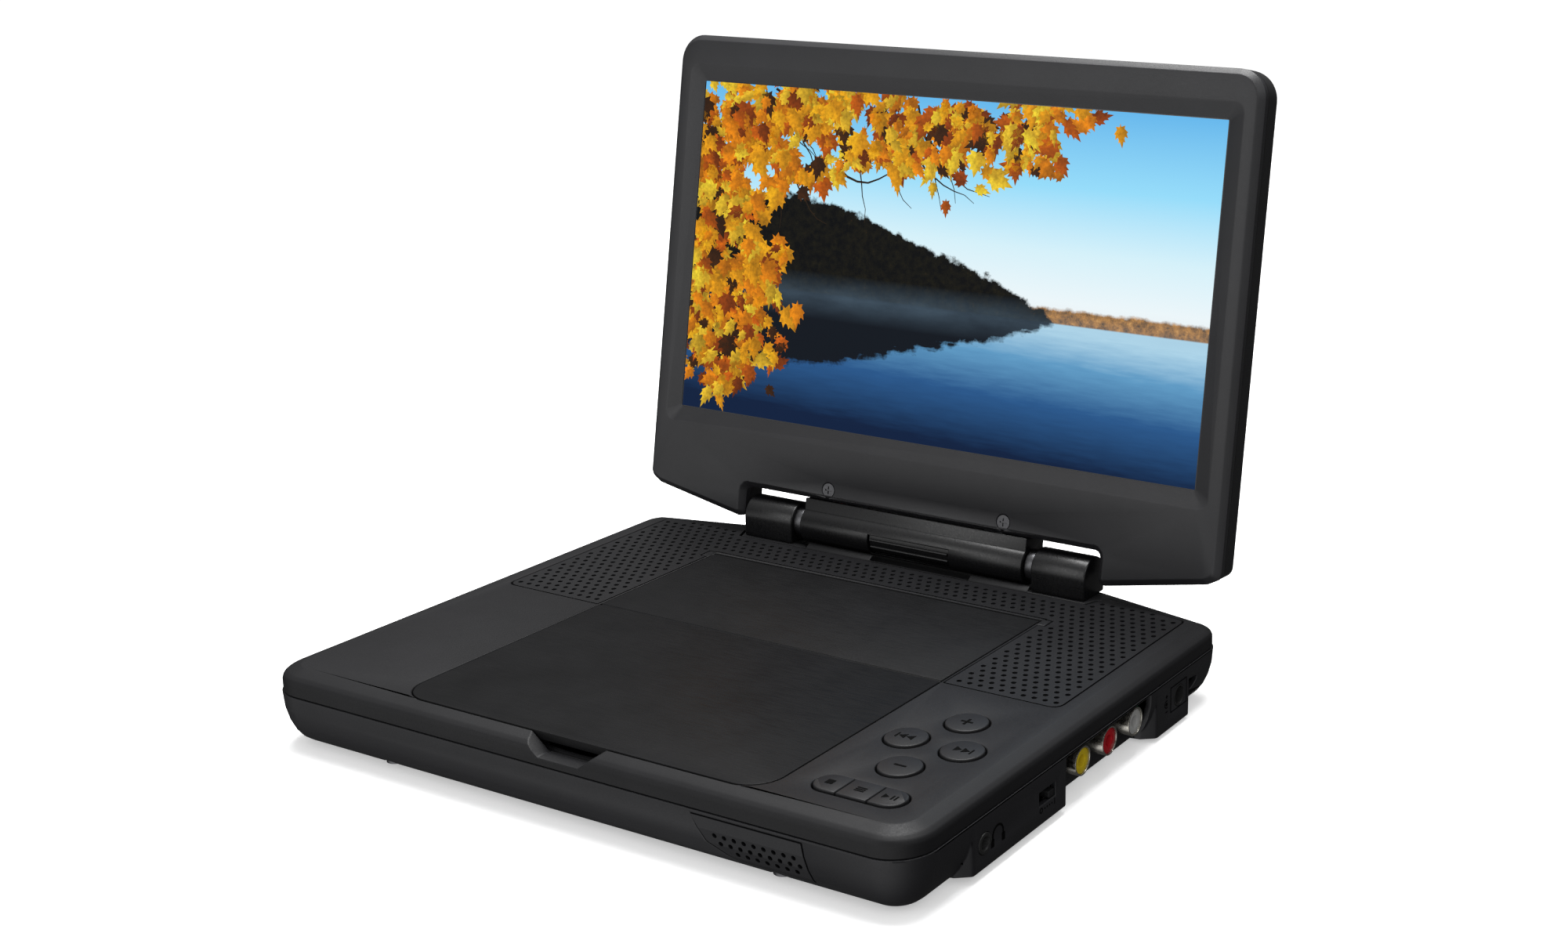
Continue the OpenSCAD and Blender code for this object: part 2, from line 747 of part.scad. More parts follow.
module lid_back_cover() color([0.1, 0.1, 0.11]) in_lid() difference() {
    union() {
        difference() {
            plate(lid_outline(0), lid_back, lid_t - bezel_t - 0.25);
            plate(lid_outline(1.8), lid_back + 1.7, lid_t);
        }
        lid_screw_places() translate([0, 0, lid_back + 1]) cylinder(r = 2.6, h = lid_t - 3.2);
    }
    block([-41, notch_top - 1, lid_back + 1.7], [41, notch_top + 4, 5]);
    lid_screw_places() translate([0, 0, lid_back + 2]) cylinder(r = 1.15, h = 20);
}

module lcd_panel() color([0.2, 0.35, 0.5]) in_lid() {
    translate([0, lcd_low + lcd_h / 2, 1.7]) rounded_box([lcd_w + 3.4, lcd_h + 3.4, 1.2], 0.5);
}

module lcd_module() color([0.6, 0.6, 0.62]) in_lid() {
    translate([0, lcd_low + lcd_h / 2, -2.3]) rounded_box([lcd_w + 7, lcd_h + 7, 3.9], 1);
}

module driver_board() color([0.05, 0.3, 0.15]) in_lid() {
    block([-22, 13, -0.8], [24, 27.5, 0.4]);
    block([-12, 16, 0.39], [2, 25, 1.6]);
    block([6, 17, 0.39], [18, 24, 1.4]);
}

module hinge_barrel() color([0.07, 0.07, 0.07]) in_lid() difference() {
    union() {
        rod_x(-barrel_half, barrel_half, 0, 0, barrel_r);
        block([-barrel_half, 0, -barrel_r], [barrel_half, notch_top - 0.1, lid_face - 0.3]);
    }
    rod_x(-barrel_half + 2, barrel_half - 2, 0, 0, 5);
    block([-barrel_half + 2, 0, -5], [barrel_half - 2, notch_top + 1, 2.9]);
    rod_x(-barrel_half - 1, barrel_half + 1, 0, 0, shaft_r + 0.01);
    block([-15.7, -5.4, 2], [15.7, 1, 8]);
}

// Ribbed strip that closes the window in the barrel
module cable_cover() color([0.09, 0.09, 0.09]) in_lid() {
    intersection() {
        difference() {
            rod_x(-15.4, 15.4, 0, 0, 5.6);
            rod_x(-16, 16, 0, 0, 5.02);
        }
        block([-16, -5.2, 2.2], [16, 0.8, 8]);
    }
    for (a = [8, 32]) rotate([a, 0, 0]) rod_x(-15, 15, 0, 5.6, 0.5);
}

module bezel_screws() color([0.5, 0.5, 0.52]) in_lid() lid_screw_places() difference() {
    union() {
        translate([0, 0, lid_face - 0.88]) cylinder(r = 2.3, h = 0.7);
        translate([0, 0, lid_back + 3]) cylinder(r = 1.1, h = lid_t - 3.6);
    }
    translate([0, 0, lid_face]) cube([2.6, 0.5, 1.1], center = true);
    translate([0, 0, lid_face]) cube([0.5, 2.6, 1.1], center = true);
}

// Steel shaft on the right, with its plate inside the lid
module lid_hinge_shaft() color([0.7, 0.7, 0.72]) in_lid() {
    rod_x(24, 60.5, 0, 0, shaft_r);
    block([24, 0, -2.6], [31, 26, -1]);
}

// Hollow pin on the left, which the screen's wires run through
module cable_bushing() color([0.7, 0.7, 0.72]) in_lid() difference() {
    rod_x(-59, -36, 0, 0, shaft_r);
    rod_x(-60, -35, 0, 0, 2.1);
}

module lid_harness() color([0.55, 0.1, 0.1]) in_lid() {
    rod_x(-59, -32, 0, 0, 1.9);
    translate([-32, 0, 0]) {
        sphere(r = 1.9);
        rotate([-90, 0, 0]) cylinder(r = 1.9, h = 8.4);
    }
}

// ---------- the object ----------

bottom_shell();
top_cover();
speaker_grille();
front_vent_panel();
disc_well();
left_hinge_cover();
right_hinge_cover();
hinge_collars();
friction_hinge();
main_board();
board_chips();
key_board();
key_switches();
power_switch_body();
headphone_jack();
rca_block();
rca_shells();
video_insert();
right_audio_insert();
left_audio_insert();
dc_jack();
dc_jack_pin();
battery_pack();
speaker_drivers();
speaker_cones();
rubber_feet();
case_screws();
mech_chassis();
chassis_dampers();
spindle_motor();
sled_motor();
guide_rails();
base_harness();
turntable();
turntable_ring();
spindle_shaft();
pickup_sled();
objective_lens();
lead_screw();
disc_door();
door_pins();
volume_up_key();
volume_down_key();
previous_key();
next_key();
stop_key();
menu_key();
play_key();
power_switch_knob();
lid_bezel();
lid_back_cover();
lcd_panel();
lcd_module();
driver_board();
hinge_barrel();
cable_cover();
bezel_screws();
lid_hinge_shaft();
cable_bushing();
lid_harness();
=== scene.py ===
"""Looks of the portable disc player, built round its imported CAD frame.

Metres throughout, in the CAD's frame: +X right, +Y back, +Z up, feet on z = 0.
"""

import json
import math
import random

import bmesh
import bpy
from mathutils import Matrix, Vector
from mathutils.bvhtree import BVHTree

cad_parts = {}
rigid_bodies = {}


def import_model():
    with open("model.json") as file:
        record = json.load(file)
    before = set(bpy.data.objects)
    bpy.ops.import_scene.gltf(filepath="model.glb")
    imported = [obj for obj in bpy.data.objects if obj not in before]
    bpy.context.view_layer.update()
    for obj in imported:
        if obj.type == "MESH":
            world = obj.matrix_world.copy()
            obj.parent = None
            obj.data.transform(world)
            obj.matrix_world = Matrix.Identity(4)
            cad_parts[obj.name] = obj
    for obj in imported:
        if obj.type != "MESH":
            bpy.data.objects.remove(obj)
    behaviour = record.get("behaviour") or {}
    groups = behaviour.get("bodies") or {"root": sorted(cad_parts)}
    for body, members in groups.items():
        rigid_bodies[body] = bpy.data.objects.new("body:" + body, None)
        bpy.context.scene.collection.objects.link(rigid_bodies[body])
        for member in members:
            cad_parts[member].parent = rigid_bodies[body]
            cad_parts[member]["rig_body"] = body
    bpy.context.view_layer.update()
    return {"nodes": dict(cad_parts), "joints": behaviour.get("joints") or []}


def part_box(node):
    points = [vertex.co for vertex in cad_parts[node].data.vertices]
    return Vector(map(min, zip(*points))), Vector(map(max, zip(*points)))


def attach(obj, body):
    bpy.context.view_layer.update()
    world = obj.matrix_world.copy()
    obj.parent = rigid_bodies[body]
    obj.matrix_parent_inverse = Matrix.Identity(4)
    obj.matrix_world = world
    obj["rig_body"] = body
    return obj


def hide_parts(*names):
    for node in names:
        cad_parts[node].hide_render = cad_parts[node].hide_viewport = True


MM = 0.001

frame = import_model()
nodes = frame["nodes"]


# ---------- places taken from the frame ----------


def joint_place(name):
    """The point a joint turns about."""
    return Vector(next(j["pos_m"] for j in frame["joints"] if j["name"] == name))


LID_LEAN = 10.0
HINGE = joint_place("lid_hinge")
DECK_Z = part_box("disc_door")[1].z
SIDE_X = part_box("bottom_shell")[1].x
FRONT_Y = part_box("bottom_shell")[0].y

# The lid's own frame: x across, y up the lid from the hinge axis, z out of its face
LID = Matrix.Translation(HINGE) @ Matrix.Rotation(math.radians(90 - LID_LEAN), 4, "X")
PICTURE_W = 198.0 * MM
PICTURE_H = 111.4 * MM
PICTURE_LOW = 32.7 * MM
LID_BACK = -6.9 * MM
LID_FACE = 4.6 * MM


# ---------- material helpers ----------


def add(tree, kind, inputs=None, **settings):
    """Adds a shader node, with its settings, and its inputs as values or links."""
    made = tree.nodes.new(kind)
    for key, value in settings.items():
        setattr(made, key, value)
    for key, value in (inputs or {}).items():
        if isinstance(value, bpy.types.NodeSocket):
            tree.links.new(value, made.inputs[key])
        else:
            made.inputs[key].default_value = value
    return made


def ramp(tree, value, stops):
    """A colour ramp from (position, grey or colour) stops."""
    made = add(tree, "ShaderNodeValToRGB", {"Fac": value})
    marks = made.color_ramp.elements
    while len(marks) < len(stops):
        marks.new(0.5)
    for mark, (position, colour) in zip(marks, stops):
        mark.position = position
        rgb = (colour,) * 3 if isinstance(colour, float) else colour
        mark.color = (*rgb, 1.0)
    return made.outputs["Color"]


def blank(name):
    """A new material with its node tree and its shader."""
    made = bpy.data.materials.new(name)
    made.use_nodes = True
    shader = made.node_tree.nodes["Principled BSDF"]
    return made, made.node_tree, shader


def place_of(tree, scale=(1.0, 1.0, 1.0)):
    """Coordinates fixed to the piece, in metres, stretched by scale."""
    coords = add(tree, "ShaderNodeTexCoord").outputs["Object"]
    if scale == (1.0, 1.0, 1.0):
        return coords
    mapping = add(tree, "ShaderNodeMapping", {"Vector": coords, "Scale": scale})
    return mapping.outputs["Vector"]


def noise(tree, place, scale, detail=3.0, rough=0.55):
    """Grey noise, about scale waves to the metre."""
    inputs = {"Vector": place, "Scale": scale, "Detail": detail, "Roughness": rough}
    return add(tree, "ShaderNodeTexNoise", inputs).outputs["Fac"]


def finish_surface(tree, shader, colour, tint, fine, rough, spread, depth):
    """Links colour variation, roughness variation and bump, all from noise."""
    dark = tuple(c * (1 - tint) for c in colour)
    light = tuple(c * (1 + tint) for c in colour)
    broad = noise(tree, place_of(tree), 60.0, 4.0)
    shader_colour = ramp(tree, broad, [(0.3, dark), (0.7, light)])
    tree.links.new(shader_colour, shader.inputs["Base Color"])
    limits = {"Value": fine, "From Min": 0.3, "From Max": 0.7,
              "To Min": rough - spread, "To Max": rough + spread}
    tree.links.new(add(tree, "ShaderNodeMapRange", limits).outputs["Result"],
                   shader.inputs["Roughness"])
    bump = add(tree, "ShaderNodeBump", {"Height": fine, "Strength": 0.6, "Distance": depth})
    tree.links.new(bump.outputs["Normal"], shader.inputs["Normal"])


def moulded(name, colour, rough=0.5, grain=2600.0, depth=0.012 * MM, tint=0.1, specular=0.5):
    """Moulded plastic or rubber with a fine even grain."""
    made, tree, shader = blank(name)
    fine = noise(tree, place_of(tree), grain, 3.0)
    finish_surface(tree, shader, colour, tint, fine, rough, 0.07, depth)
    shader.inputs["Specular IOR Level"].default_value = specular
    return made


def streaked(name, colour, rough, specular):
    """Plastic with short fine streaks from side to side, as on the disc door."""
    made, tree, shader = blank(name)
    fine = noise(tree, place_of(tree, (0.11, 1.0, 1.0)), 1500.0, 2.0, 0.4)
    finish_surface(tree, shader, colour, 0.15, fine, rough, 0.1, 0.05 * MM)
    shader.inputs["Specular IOR Level"].default_value = specular
    return made


def metal(name, colour, rough=0.3, grain=1800.0, stretch=(1.0, 1.0, 1.0), depth=0.006 * MM):
    """Plain, turned or brushed metal."""
    made, tree, shader = blank(name)
    fine = noise(tree, place_of(tree, stretch), grain, 4.0)
    finish_surface(tree, shader, colour, 0.06, fine, rough, 0.08, depth)
    shader.inputs["Metallic"].default_value = 1.0
    return made


def board(name):
    """Varnished circuit board with copper tracks under the varnish."""
    made, tree, shader = blank(name)
    inputs = {"Vector": place_of(tree), "Scale": 260.0, "Randomness": 0.35}
    cells = add(tree, "ShaderNodeTexVoronoi", inputs, distance="CHEBYCHEV", feature="F1")
    tracks = cells.outputs["Distance"]
    green = ramp(tree, tracks, [(0.0, (0.02, 0.2, 0.09)), (0.35, (0.01, 0.09, 0.04)),
                                (0.6, (0.015, 0.13, 0.06))])
    tree.links.new(green, shader.inputs["Base Color"])
    bump = add(tree, "ShaderNodeBump", {"Height": tracks, "Strength": 0.4, "Distance": 0.03 * MM})
    tree.links.new(bump.outputs["Normal"], shader.inputs["Normal"])
    shader.inputs["Roughness"].default_value = 0.3
    return made


def lens():
    """Tinted glass with a faint coating pattern."""
    made, tree, shader = blank("lens")
    fine = noise(tree, place_of(tree), 300.0, 2.0)
    finish_surface(tree, shader, (0.2, 0.3, 0.55), 0.2, fine, 0.08, 0.03, 0.002 * MM)
    shader.inputs["Coat Weight"].default_value = 0.6
    return made


# ---------- the picture on the screen ----------


def calc(tree, kind, a, b=0.0, c=0.0):
    """One arithmetic step."""
    return add(tree, "ShaderNodeMath", {0: a, 1: b, 2: c}, operation=kind).outputs["Value"]


def blend_colours(tree, amount, a, b):
    """Colour a where amount is 0 and b where it is 1."""
    mix = add(tree, "ShaderNodeMix", data_type="RGBA")
    for socket, value in (("Factor", amount), ("A", a), ("B", b)):
        slot = next(s for s in mix.inputs if s.name == socket
                    and s.type == ("VALUE" if socket == "Factor" else "RGBA") and s.enabled)
        if isinstance(value, bpy.types.NodeSocket):
            tree.links.new(value, slot)
        else:
            slot.default_value = (*value, 1.0)
    return next(s for s in mix.outputs if s.type == "RGBA" and s.enabled)


def edge(tree, below, height, softness):
    """1 where below is under height, fading over softness."""
    limits = {"Value": calc(tree, "SUBTRACT", height, below), "From Min": 0.0, "From Max": softness}
    return add(tree, "ShaderNodeMapRange", limits).outputs["Result"]


# Height of the water's far edge, as a share of the picture's height
WATERLINE = 0.40


def lake_picture():
    """Glowing picture of a lake below a wooded hill, all from gradients and noise."""
    made, tree, shader = blank("lake_picture")
    coords = place_of(tree)
    across_up = add(tree, "ShaderNodeSeparateXYZ", {"Vector": coords})
    u = calc(tree, "DIVIDE", across_up.outputs["X"], PICTURE_W)
    u = calc(tree, "ADD", u, 0.5)
    v = calc(tree, "DIVIDE", calc(tree, "SUBTRACT", across_up.outputs["Y"], PICTURE_LOW), PICTURE_H)

    sky = ramp(tree, v, [(0.42, (0.93, 0.98, 1.0)), (0.6, (0.7, 0.92, 1.0)),
                         (0.78, (0.32, 0.75, 1.0)), (1.0, (0.14, 0.5, 0.88))])
    outline = ramp(tree, u, [(0.0, 0.66), (0.2, 0.69), (0.32, 0.66), (0.5, 0.56),
                             (0.62, 0.5), (0.7, 0.44), (0.74, 0.40), (1.0, 0.39)])
    crowns = calc(tree, "MULTIPLY", noise(tree, coords, 260.0, 5.0, 0.6), 0.07)
    hill_top = calc(tree, "ADD", outline, calc(tree, "SUBTRACT", crowns, 0.035))
    woods = noise(tree, coords, 420.0, 6.0, 0.7)
    hill_colour = ramp(tree, woods, [(0.4, (0.0015, 0.002, 0.002)), (0.66, (0.01, 0.009, 0.004)),
                                     (0.82, (0.09, 0.04, 0.01))])
    shore = calc(tree, "ADD", WATERLINE + 0.03, calc(tree, "MULTIPLY", crowns, 0.4))
    far_colour = ramp(tree, woods, [(0.35, (0.1, 0.06, 0.03)), (0.6, (0.5, 0.24, 0.06)),
                                    (0.75, (0.75, 0.45, 0.15))])
    land = blend_colours(tree, edge(tree, v, shore, 0.01), sky, far_colour)
    land = blend_colours(tree, edge(tree, v, hill_top, 0.012), land, hill_colour)

    depth = calc(tree, "SUBTRACT", WATERLINE, v)
    ripple_place = place_of(tree, (0.12, 1.0, 1.0))
    swell = calc(tree, "SUBTRACT", noise(tree, ripple_place, 700.0, 4.0), 0.5)
    ripples = calc(tree, "MULTIPLY", swell, 0.05)
    right_glow = calc(tree, "MULTIPLY", calc(tree, "SUBTRACT", u, 0.5), 0.07)
    lit_depth = calc(tree, "SUBTRACT", calc(tree, "ADD", depth, ripples), right_glow)
    water = ramp(tree, lit_depth, [(0.0, (0.46, 0.72, 0.88)), (0.1, (0.12, 0.34, 0.58)),
                                   (0.22, (0.022, 0.1, 0.27)), (0.38, (0.003, 0.014, 0.05))])
    mirrored = calc(tree, "ADD", WATERLINE, calc(tree, "MULTIPLY", depth, 1.25))
    torn = calc(tree, "ADD", mirrored, calc(tree, "MULTIPLY", ripples, 0.9))
    reflection = edge(tree, torn, hill_top, 0.02)
    water = blend_colours(tree, reflection, water, (0.004, 0.007, 0.012))
    lake = edge(tree, v, WATERLINE, 0.004)
    scene_colour = blend_colours(tree, lake, land, water)

    wisps = noise(tree, place_of(tree, (0.35, 1.0, 1.0)), 130.0, 5.0, 0.6)
    closeness = calc(tree, "ABSOLUTE", calc(tree, "SUBTRACT", v, WATERLINE - 0.01))
    low_mist = add(tree, "ShaderNodeMapRange", {"Value": closeness, "From Min": 0.0,
                                                "From Max": 0.07, "To Min": 1.0, "To Max": 0.0})
    mist = calc(tree, "MULTIPLY", low_mist.outputs["Result"], calc(tree, "MULTIPLY", wisps, 0.28))
    scene_colour = blend_colours(tree, mist, scene_colour, (0.24, 0.38, 0.52))

    tree.links.new(scene_colour, shader.inputs["Emission Color"])
    shader.inputs["Emission Strength"].default_value = 0.95
    shader.inputs["Base Color"].default_value = (0.003, 0.003, 0.004, 1.0)
    shader.inputs["Roughness"].default_value = 0.4
    shader.inputs["Specular IOR Level"].default_value = 0.04
    return made


def leaf_paint():
    """Glowing autumn leaves, each in the colour stored on its faces."""
    made, tree, shader = blank("leaf_paint")
    tint = add(tree, "ShaderNodeVertexColor", layer_name="leaf").outputs["Color"]
    veins = noise(tree, place_of(tree), 900.0, 3.0)
    shade = ramp(tree, veins, [(0.3, 0.55), (0.7, 1.0)])
    mix = add(tree, "ShaderNodeVectorMath", {0: tint, 1: shade}, operation="MULTIPLY")
    tree.links.new(mix.outputs["Vector"], shader.inputs["Emission Color"])
    shader.inputs["Emission Strength"].default_value = 1.0
    shader.inputs["Base Color"].default_value = (0.004, 0.002, 0.0, 1.0)
    shader.inputs["Roughness"].default_value = 0.4
    shader.inputs["Specular IOR Level"].default_value = 0.12
    return made


# ---------- the materials ----------

looks = {
    "shell": moulded("shell", (0.013, 0.013, 0.015), 0.5, 2200.0, 0.02 * MM, specular=0.38),
    "deck": moulded("deck", (0.0105, 0.0105, 0.0115), 0.5, 2200.0, 0.02 * MM, specular=0.2),
    "door": streaked("door", (0.008, 0.008, 0.0085), 0.5, 0.08),
    "grille": moulded("grille", (0.009, 0.009, 0.01), 0.5, 2400.0, specular=0.2),
    "well": moulded("well", (0.02, 0.02, 0.022), 0.6),
    "hinge": moulded("hinge", (0.003, 0.003, 0.0035), 0.32, 1500.0, 0.002 * MM),
    "lid": moulded("lid", (0.017, 0.017, 0.019), 0.42, 2600.0, 0.015 * MM, specular=0.42),
    "lid_back": moulded("lid_back", (0.013, 0.013, 0.014), 0.48, 2200.0, 0.02 * MM, specular=0.3),
    "key": moulded("key", (0.011, 0.011, 0.012), 0.45, 2800.0, specular=0.25),
    "mark": moulded("mark", (0.0015, 0.0015, 0.0015), 0.8, 2800.0, specular=0.05),
    "socket": moulded("socket", (0.01, 0.01, 0.01), 0.55),
    "yellow": moulded("yellow", (0.55, 0.4, 0.01), 0.5, 1600.0, specular=0.2),
    "red": moulded("red", (0.38, 0.006, 0.012), 0.5, 1600.0, specular=0.2),
    "white": moulded("white", (0.36, 0.36, 0.35), 0.5, 1600.0, tint=0.05, specular=0.3),
    "nickel": metal("nickel", (0.52, 0.5, 0.45), 0.28),
    "steel": metal("steel", (0.55, 0.55, 0.57), 0.3, 900.0, (1.0, 8.0, 8.0)),
    "dark_steel": metal("dark_steel", (0.1, 0.1, 0.105), 0.35),
    "sheet": metal("sheet", (0.58, 0.59, 0.6), 0.35, 500.0, (1.0, 12.0, 12.0)),
    "rubber": moulded("rubber", (0.014, 0.014, 0.014), 0.8, 1500.0, 0.03 * MM, specular=0.2),
    "board": board("board"),
    "chip": moulded("chip", (0.02, 0.02, 0.02), 0.6, 3000.0),
    "battery": moulded("battery", (0.02, 0.05, 0.16), 0.35, 300.0, 0.05 * MM),
    "paper": moulded("paper", (0.03, 0.03, 0.03), 0.85, 1200.0, 0.05 * MM, 0.2, 0.2),
    "wire": moulded("wire", (0.3, 0.02, 0.02), 0.5, 1500.0),
    "glass": moulded("glass", (0.01, 0.01, 0.012), 0.2, 600.0, 0.002 * MM),
    "backlight": moulded("backlight", (0.5, 0.5, 0.5), 0.5),
    "lens": lens(),
}

# Which look each CAD node has
node_looks = {
    "bottom_shell": "shell", "top_cover": "deck", "speaker_grille": "grille",
    "front_vent_panel": "shell", "disc_well": "well", "left_hinge_cover": "hinge",
    "right_hinge_cover": "hinge", "hinge_collars": "dark_steel", "friction_hinge": "steel",
    "main_board": "board", "board_chips": "chip", "key_board": "board",
    "key_switches": "nickel", "power_switch_body": "sheet", "headphone_jack": "socket",
    "rca_block": "socket", "rca_shells": "nickel", "video_insert": "yellow",
    "right_audio_insert": "red", "left_audio_insert": "white", "dc_jack": "socket",
    "dc_jack_pin": "nickel", "battery_pack": "battery", "speaker_drivers": "sheet",
    "speaker_cones": "paper", "rubber_feet": "rubber", "case_screws": "dark_steel",
    "mech_chassis": "sheet", "chassis_dampers": "rubber", "spindle_motor": "steel",
    "sled_motor": "steel", "guide_rails": "steel", "base_harness": "wire",
    "turntable": "well", "turntable_ring": "rubber", "spindle_shaft": "steel",
    "pickup_sled": "chip", "objective_lens": "lens", "lead_screw": "steel",
    "disc_door": "door", "door_pins": "steel",
    "volume_up_key": "key", "volume_down_key": "key", "previous_key": "key",
    "next_key": "key", "stop_key": "key", "menu_key": "key", "play_key": "key",
    "power_switch_knob": "key", "lid_bezel": "lid", "lid_back_cover": "lid_back",
    "lcd_panel": "glass", "lcd_module": "backlight", "driver_board": "board",
    "hinge_barrel": "hinge", "cable_cover": "hinge", "bezel_screws": "dark_steel",
    "lid_hinge_shaft": "steel", "cable_bushing": "steel", "lid_harness": "wire",
}
for name, look in node_looks.items():
    nodes[name].data.materials.clear()
    nodes[name].data.materials.append(looks[look])


# ---------- shape helpers ----------


def new_piece(name, mesh, body, look):
    """Adds a finished mesh to the scene, on a body, with its material."""
    piece = bpy.data.objects.new(name, mesh)
    bpy.context.scene.collection.objects.link(piece)
    mesh.materials.clear()
    mesh.materials.append(looks[look])
    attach(piece, body)
    return piece


def shade(mesh, angle=32.0):
    """Smooth shading that keeps edges sharper than the angle."""
    mesh.shade_smooth()
    mesh.set_sharp_from_angle(angle=math.radians(angle))


def cleaned(node, merge=True):
    """The node's mesh as one joined surface, its flat faces merged where that is asked for."""
    bm = bmesh.new()
    bm.from_mesh(nodes[node].data)
    bmesh.ops.remove_doubles(bm, verts=bm.verts, dist=0.002 * MM)
    if merge:
        bmesh.ops.dissolve_limit(bm, angle_limit=math.radians(0.5), verts=bm.verts, edges=bm.edges)
    return bm


def soften(bm, width, test=None, angle=25.0, segments=2):
    """Rounds the sharp edges that pass the test."""
    bm.normal_update()
    chosen = [e for e in bm.edges if len(e.link_faces) == 2
              and e.calc_face_angle() > math.radians(angle)
              and (test is None or test((e.verts[0].co + e.verts[1].co) / 2, e))]
    if chosen:
        bmesh.ops.bevel(bm, geom=chosen, offset=width, segments=segments, profile=0.5,
                        affect="EDGES", clamp_overlap=False)


def restyle(node, *softenings, angle=32.0, merge=True):
    """Replaces a node with a copy of itself whose edges are rounded, kept inside the node's box."""
    bm = cleaned(node, merge)
    low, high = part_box(node)
    for options in softenings:
        soften(bm, **options)
    for vert in bm.verts:
        vert.co = Vector(min(max(c, a), b) for c, a, b in zip(vert.co, low, high))
    mesh = bpy.data.meshes.new(node + "_look")
    bm.to_mesh(mesh)
    bm.free()
    shade(mesh, angle)
    piece = new_piece(node + "_look", mesh, nodes[node]["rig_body"], node_looks[node])
    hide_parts(node)
    return piece


def prism(bm, outline, depth, place):
    """A flat outline (x, y) at z = 0, pulled down by depth and moved by place."""
    top = [bm.verts.new(place @ Vector((x, y, 0.0))) for x, y in outline]
    low = [bm.verts.new(place @ Vector((x, y, -depth))) for x, y in outline]
    bm.faces.new(top)
    bm.faces.new(list(reversed(low)))
    for i in range(len(outline)):
        j = (i + 1) % len(outline)
        bm.faces.new((top[j], top[i], low[i], low[j]))


def circle(radius, count, x=0.0, y=0.0):
    """A round outline of count points."""
    return [(x + radius * math.cos(2 * math.pi * i / count),
             y + radius * math.sin(2 * math.pi * i / count)) for i in range(count)]


def pierced(node, places, radius, depth):
    """Replaces a node with a copy that has a round hole at each place, a matrix with +Z outwards."""
    drill = bmesh.new()
    for place in places:
        prism(drill, circle(radius, 10), depth, place)
    bmesh.ops.recalc_face_normals(drill, faces=drill.faces)
    cutter_mesh = bpy.data.meshes.new(node + "_drill")
    drill.to_mesh(cutter_mesh)
    drill.free()
    cutter = bpy.data.objects.new(node + "_drill", cutter_mesh)
    bpy.context.scene.collection.objects.link(cutter)

    bm = cleaned(node)
    mesh = bpy.data.meshes.new(node + "_look")
    bm.to_mesh(mesh)
    bm.free()
    piece = new_piece(node + "_look", mesh, nodes[node]["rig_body"], node_looks[node])
    cut = piece.modifiers.new("holes", "BOOLEAN")
    cut.operation = "DIFFERENCE"
    cut.solver = "EXACT"
    cut.object = cutter
    graph = bpy.context.evaluated_depsgraph_get()
    holed = bpy.data.meshes.new_from_object(piece.evaluated_get(graph))
    piece.modifiers.clear()
    piece.data = holed
    bpy.data.objects.remove(cutter)
    shade(holed)
    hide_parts(node)
    return piece


def raised(name, outlines, place, height, body, look):
    """Flat signs that stand a little above the surface that place lies on."""
    bm = bmesh.new()
    lift = place @ Matrix.Translation((0, 0, height))
    for outline in outlines:
        prism(bm, [(x * MM, y * MM) for x, y in outline], height + 0.1 * MM, lift)
    bmesh.ops.recalc_face_normals(bm, faces=bm.faces)
    mesh = bpy.data.meshes.new(name)
    bm.to_mesh(mesh)
    bm.free()
    return new_piece(name, mesh, body, look)


# ---------- shells and covers ----------

# How far below the deck its rounded shoulder reaches
SHOULDER_H = 5 * MM
# How wide a band of flat frame lies between the picture and the lid's rim
RIM_CLEAR = 7 * MM
# How far below the picture the lower rim starts
LOWER_RIM = 22 * MM
FACE_MATCH = 0.05 * MM


def near_deck(p, e):
    """True for edges of the deck and of the shoulder round it."""
    return p.z > DECK_Z - SHOULDER_H


restyle("bottom_shell", dict(width=0.35 * MM, angle=28.0))
restyle("top_cover", dict(width=0.35 * MM, angle=14.0, test=near_deck, segments=3), merge=False)
restyle("disc_door", dict(width=0.25 * MM, angle=25.0))
restyle("left_hinge_cover", dict(width=0.6 * MM, segments=3))
restyle("right_hinge_cover", dict(width=0.6 * MM, segments=3))
restyle("hinge_collars", dict(width=0.3 * MM))
restyle("hinge_barrel", dict(width=0.3 * MM, angle=40.0))
restyle("rubber_feet", dict(width=0.4 * MM))
restyle("rca_shells", dict(width=0.12 * MM))
restyle("headphone_jack", dict(width=0.15 * MM))
restyle("power_switch_knob", dict(width=0.2 * MM))
restyle("turntable", dict(width=0.2 * MM))
for name in ("video_insert", "right_audio_insert", "left_audio_insert"):
    restyle(name, dict(width=0.2 * MM))
for name in ("volume_up_key", "volume_down_key", "previous_key", "next_key",
             "stop_key", "menu_key", "play_key"):
    restyle(name, dict(width=0.4 * MM, angle=40.0, segments=3))


def lid_depth(p):
    """How far a point stands out of the lid's face."""
    return (LID.inverted() @ p).z


def near_screw(q):
    """True inside the wide hole over either bezel screw, in the lid's own frame."""
    low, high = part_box("bezel_screws")
    middle = LID.inverted() @ ((low + high) / 2)
    outer = (high.x - low.x) / 2
    return abs(abs(q.x) - outer) < 6 * MM and abs(q.y - middle.y) < 3.5 * MM


def on_lid_rim(p):
    """True away from the picture and the screws, near the lid's outline."""
    q = LID.inverted() @ p
    if near_screw(q):
        return False
    beside = abs(q.x) > PICTURE_W / 2 + RIM_CLEAR
    above = q.y > PICTURE_LOW + PICTURE_H + RIM_CLEAR
    return beside or above or q.y < PICTURE_LOW - LOWER_RIM


